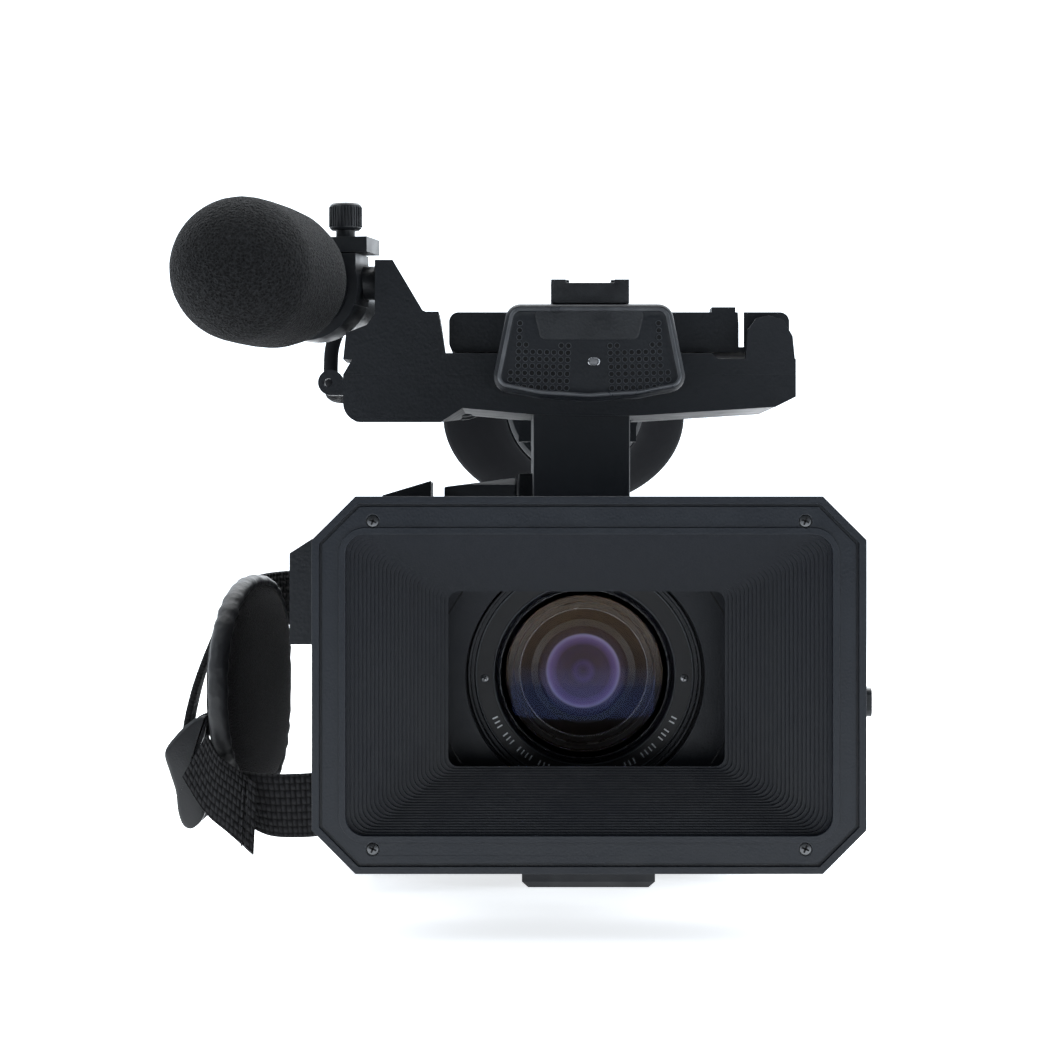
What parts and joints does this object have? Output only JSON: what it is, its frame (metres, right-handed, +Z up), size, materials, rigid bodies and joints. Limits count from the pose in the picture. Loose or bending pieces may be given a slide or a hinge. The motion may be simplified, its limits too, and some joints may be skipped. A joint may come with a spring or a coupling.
{
  "type": "camcorder",
  "caption": "Hand-held camcorder with a rectangular lens hood, top handle, side audio unit, foam-covered microphone, hand strap and tilting eyepiece.",
  "frame": {"origin": "mouth of the tripod socket, on the resting face under the camera", "axes": "+Z up, +Y to the rear of the camera, +X to the camera's own left"},
  "size_m": [0.2166, 0.366, 0.2162],
  "materials": {
    "charcoal_shell": "moulded, fine spark texture",
    "hood_plastic": "moulded, satin",
    "baffle_black": "ribbed anti-glare",
    "lens_black": "anodised black",
    "ring_rubber": "ribbed",
    "optic_glass": "coated",
    "cell_black": "matt anodised",
    "sensor_block": "cast",
    "circuit_board": "board",
    "grey_panel": "satin light grey",
    "base_metal": "black anodised plate",
    "shoe_metal": "satin",
    "screw_steel": "blackened",
    "key_plastic": "satin key",
    "rec_red": "satin red",
    "strap_leather": "grained binding and mesh pad",
    "webbing": "woven",
    "buckle_plastic": "moulded",
    "foam": "open cell foam",
    "mic_metal": "black satin",
    "soft_rubber": "moulded",
    "cable_rubber": "satin sheath",
    "screen_glass": "black panel",
    "battery_case": "moulded"
  },
  "bodies": {
    "camera_body": {"lens_barrel": "lens_black", "front_cell": "cell_black", "front_element": "optic_glass", "iris_unit": "cell_black", "image_sensor": "sensor_block", "body_left_shell": "charcoal_shell", "body_right_shell": "charcoal_shell", "top_cover": "grey_panel", "rear_cover": "charcoal_shell", "base_plate": "base_metal", "main_board": "circuit_board", "grip_shell": "charcoal_shell", "strap_pad": "strap_leather", "strap_webbing": "webbing", "strap_buckle": "buckle_plastic", "handle_lower": "charcoal_shell", "handle_upper": "charcoal_shell", "mic_grille": "charcoal_shell", "shoe_rail": "shoe_metal", "unit_lower_shell": "charcoal_shell", "unit_upper_shell": "charcoal_shell", "xlr_jacks": "mic_metal", "mic_body": "mic_metal", "windscreen": "foam", "mic_isolator": "soft_rubber", "clamp_base": "key_plastic", "mic_cable": "cable_rubber", "mic_plug": "mic_metal", "evf_bracket": "charcoal_shell"},
    "hood": {"hood_shell": "hood_plastic", "hood_face_frame": "hood_plastic", "hood_screws": "screw_steel", "hood_baffle": "baffle_black", "hood_mask": "baffle_black"},
    "shutter_top": {"shutter_upper": "baffle_black"},
    "shutter_bottom": {"shutter_lower": "baffle_black"},
    "shutter_slider": {"shutter_lever": "key_plastic"},
    "hood_lock": {"hood_lock_knob": "key_plastic"},
    "focus": {"focus_ring": "ring_rubber"},
    "zoom": {"zoom_ring": "ring_rubber"},
    "iris": {"iris_ring": "ring_rubber"},
    "zoom_group": {"zoom_cell": "cell_black", "zoom_element": "optic_glass"},
    "user_key": {"user_button": "key_plastic"},
    "nd_slider": {"nd_switch": "key_plastic"},
    "menu_wheel": {"menu_dial": "key_plastic"},
    "grip_zoom": {"grip_rocker": "key_plastic"},
    "grip_rec": {"grip_rec_button": "rec_red"},
    "card_cover": {"card_door": "charcoal_shell"},
    "handle_zoom": {"handle_rocker": "key_plastic"},
    "handle_rec": {"handle_rec_button": "rec_red"},
    "monitor": {"lcd_case": "charcoal_shell", "lcd_screen": "screen_glass"},
    "clamp_top": {"clamp_lid": "key_plastic"},
    "clamp_screw": {"clamp_knob": "key_plastic"},
    "viewfinder": {"evf_tube": "charcoal_shell", "eyecup": "soft_rubber", "evf_lens": "optic_glass"},
    "diopter": {"diopter_dial": "key_plastic"},
    "battery": {"battery_pack": "battery_case"}
  },
  "joints": [
    {"name": "hood_slide", "type": "slide", "parent": "camera_body", "child": "hood", "axis": [0, -1, 0], "range_m": [0, 0.04]},
    {"name": "shutter_lever_slide", "type": "slide", "parent": "hood", "child": "shutter_slider", "axis": [0, 0, 1], "range_m": [0, 0.0125]},
    {"name": "shutter_upper_slide", "type": "slide", "parent": "hood", "child": "shutter_top", "axis": [0, 0, -1], "range_m": [0, 0.025]},
    {"name": "shutter_lower_slide", "type": "slide", "parent": "hood", "child": "shutter_bottom", "axis": [0, 0, 1], "range_m": [0, 0.025]},
    {"name": "hood_lock_turn", "type": "hinge", "parent": "hood", "child": "hood_lock", "pos_m": [0.0465, -0.113, 0.071], "axis": [1, 0, 0], "range_deg": [0, 180]},
    {"name": "focus_turn", "type": "hinge", "parent": "camera_body", "child": "focus", "pos_m": [0, -0.0915, 0.071], "axis": [0, 1, 0], "continuous": true},
    {"name": "zoom_turn", "type": "hinge", "parent": "camera_body", "child": "zoom", "pos_m": [0, -0.064, 0.071], "axis": [0, 1, 0], "continuous": true},
    {"name": "iris_turn", "type": "hinge", "parent": "camera_body", "child": "iris", "pos_m": [0, -0.046, 0.071], "axis": [0, 1, 0], "continuous": true},
    {"name": "zoom_group_slide", "type": "slide", "parent": "camera_body", "child": "zoom_group", "axis": [0, 1, 0], "range_m": [0, 0.03]},
    {"name": "user_key_press", "type": "slide", "parent": "camera_body", "child": "user_key", "axis": [-1, 0, 0], "range_m": [0, 0.0008], "stiffness_N_per_m": 400, "springref_m": -0.0005},
    {"name": "nd_switch_slide", "type": "slide", "parent": "camera_body", "child": "nd_slider", "axis": [0, 0, 1], "range_m": [0, 0.012]},
    {"name": "menu_dial_turn", "type": "hinge", "parent": "camera_body", "child": "menu_wheel", "pos_m": [0.0645, 0.062, 0.066], "axis": [1, 0, 0], "continuous": true},
    {"name": "grip_zoom_rock", "type": "hinge", "parent": "camera_body", "child": "grip_zoom", "pos_m": [-0.055, -0.03, 0.1198], "axis": [1, 0, 0], "range_deg": [-8, 8], "stiffness_Nm_per_rad": 0.2},
    {"name": "grip_rec_press", "type": "slide", "parent": "camera_body", "child": "grip_rec", "axis": [0, -1, 0], "range_m": [0, 0.0012], "stiffness_N_per_m": 400, "springref_m": -0.0005},
    {"name": "card_door_swing", "type": "hinge", "parent": "camera_body", "child": "card_cover", "pos_m": [-0.0532, 0.1015, 0.066], "axis": [0, 0, -1], "range_deg": [0, 100]},
    {"name": "handle_zoom_rock", "type": "hinge", "parent": "camera_body", "child": "handle_zoom", "pos_m": [0.002, 0.048, 0.1888], "axis": [1, 0, 0], "range_deg": [-8, 8], "stiffness_Nm_per_rad": 0.2},
    {"name": "handle_rec_press", "type": "slide", "parent": "camera_body", "child": "handle_rec", "axis": [0, 0, -1], "range_m": [0, 0.001], "stiffness_N_per_m": 400, "springref_m": -0.0005},
    {"name": "monitor_slide", "type": "slide", "parent": "camera_body", "child": "monitor", "axis": [1, 0, 0], "range_m": [0, 0.09]},
    {"name": "clamp_lid_swing", "type": "hinge", "parent": "camera_body", "child": "clamp_top", "pos_m": [-0.10299, -0.05113, 0.1898], "axis": [-0.2079, -0.9781, 0], "range_deg": [0, 80]},
    {"name": "clamp_screw_turn", "type": "hinge", "parent": "clamp_top", "child": "clamp_screw", "pos_m": [-0.07404, -0.05729, 0.2078], "axis": [0, 0, 1], "continuous": true},
    {"name": "viewfinder_tilt", "type": "hinge", "parent": "camera_body", "child": "viewfinder", "pos_m": [0.002, 0.122, 0.16], "axis": [1, 0, 0], "range_deg": [0, 60]},
    {"name": "diopter_turn", "type": "hinge", "parent": "viewfinder", "child": "diopter", "pos_m": [0.0285, 0.15, 0.16], "axis": [1, 0, 0], "range_deg": [-120, 120]},
    {"name": "battery_slide", "type": "slide", "parent": "camera_body", "child": "battery", "axis": [0, 0, 1], "range_m": [0, 0.012]}
  ],
  "couplings": [
    {"joint": "shutter_upper_slide", "follows": "shutter_lever_slide", "ratio": 2},
    {"joint": "shutter_lower_slide", "follows": "shutter_lever_slide", "ratio": 2}
  ]
}
